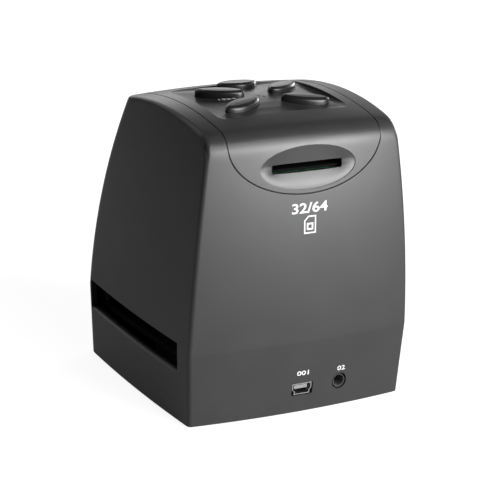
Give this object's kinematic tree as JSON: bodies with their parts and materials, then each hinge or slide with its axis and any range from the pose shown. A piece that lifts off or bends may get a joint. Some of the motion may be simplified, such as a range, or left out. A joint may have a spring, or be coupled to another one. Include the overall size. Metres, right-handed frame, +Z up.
{
  "type": "film negative scanner",
  "caption": "Small desktop film scanner: domed black case with a film-holder slot through its sides, a memory-card slot and ports behind, raised keys on top and a display in front.",
  "frame": {"origin": "middle of the footprint, on the surface that the rubber feet stand on", "axes": "+Z up; +Y towards the rear face with the card slot, USB socket and video jack; -Y towards the display; +X to the right of a user who faces the display"},
  "size_m": [0.0878, 0.088, 0.1071],
  "materials": {
    "case_plastic": "fine matt moulded",
    "cover_plastic": "fine matt moulded",
    "key_plastic": "satin gloss",
    "foot_rubber": "matt",
    "screw_steel": "plated",
    "display_window": "polished tinted window",
    "dark_glass": "polished",
    "sheet_steel": "stamped sheet",
    "black_insulator": "moulded",
    "grey_insulator": "moulded",
    "board_green": "lacquered circuit board",
    "lamp_white": "smooth",
    "clear_pipe": "clear moulded",
    "contact_gold": "plated",
    "white_plastic": "moulded",
    "diffuser_white": "opal sheet",
    "guide_black": "matt moulded",
    "barrel_black": "black anodised",
    "lens_glass": "coated",
    "cable_tan": "polyimide film"
  },
  "bodies": {
    "case": {"body_shell": "case_plastic", "top_cover": "cover_plastic", "base_plate": "case_plastic", "rubber_feet": "foot_rubber", "base_screws": "screw_steel", "display_window": "display_window", "display_panel": "dark_glass", "display_frame": "sheet_steel", "switch_bases": "grey_insulator", "key_board": "board_green", "key_board_screws": "screw_steel", "lamp_chips": "lamp_white", "lamp_pipes": "clear_pipe", "main_board": "board_green", "main_board_chips": "black_insulator", "main_board_screws": "screw_steel", "card_socket_base": "black_insulator", "card_socket_cover": "sheet_steel", "card_contacts": "contact_gold", "card_spring": "sheet_steel", "port_board": "board_green", "port_board_screws": "screw_steel", "usb_shell": "sheet_steel", "usb_tongue": "black_insulator", "usb_contacts": "contact_gold", "jack_body": "black_insulator", "jack_contacts": "contact_gold", "backlight_housing": "white_plastic", "backlight_board": "white_plastic", "backlight_lamps": "lamp_white", "diffuser": "diffuser_white", "lower_film_guide": "guide_black", "upper_film_guide": "guide_black", "guide_screws": "screw_steel", "holder_detent_spring": "sheet_steel", "light_tunnel": "guide_black", "lens_holder": "black_insulator", "lens_barrel": "barrel_black", "lens_elements": "lens_glass", "sensor_board": "board_green", "image_sensor": "dark_glass", "sensor_board_screws": "screw_steel", "sensor_cable": "cable_tan", "key_cable": "cable_tan", "display_cable": "cable_tan", "port_cable": "cable_tan"},
    "front_key": {"key_front": "key_plastic", "plunger_front": "black_insulator"},
    "left_key": {"key_left": "key_plastic", "plunger_left": "black_insulator"},
    "right_key": {"key_right": "key_plastic", "plunger_right": "black_insulator"},
    "rear_left_key": {"key_rear_left": "key_plastic", "plunger_rear_left": "black_insulator"},
    "rear_right_key": {"key_rear_right": "key_plastic", "plunger_rear_right": "black_insulator"},
    "card_carriage": {"card_slider": "white_plastic"}
  },
  "joints": [
    {"name": "front_key_press", "type": "slide", "parent": "case", "child": "front_key", "axis": [0, 0, -1], "range_m": [0, 0.0006], "stiffness_N_per_m": 250, "springref_m": -0.0006},
    {"name": "left_key_press", "type": "slide", "parent": "case", "child": "left_key", "axis": [0, 0, -1], "range_m": [0, 0.0006], "stiffness_N_per_m": 250, "springref_m": -0.0006},
    {"name": "right_key_press", "type": "slide", "parent": "case", "child": "right_key", "axis": [0, 0, -1], "range_m": [0, 0.0006], "stiffness_N_per_m": 250, "springref_m": -0.0006},
    {"name": "rear_left_key_press", "type": "slide", "parent": "case", "child": "rear_left_key", "axis": [0, 0, -1], "range_m": [0, 0.0006], "stiffness_N_per_m": 250, "springref_m": -0.0006},
    {"name": "rear_right_key_press", "type": "slide", "parent": "case", "child": "rear_right_key", "axis": [0, 0, -1], "range_m": [0, 0.0006], "stiffness_N_per_m": 250, "springref_m": -0.0006},
    {"name": "card_carriage_slide", "type": "slide", "parent": "case", "child": "card_carriage", "axis": [0, -1, 0], "range_m": [0, 0.0026], "stiffness_N_per_m": 300, "springref_m": -0.002}
  ]
}
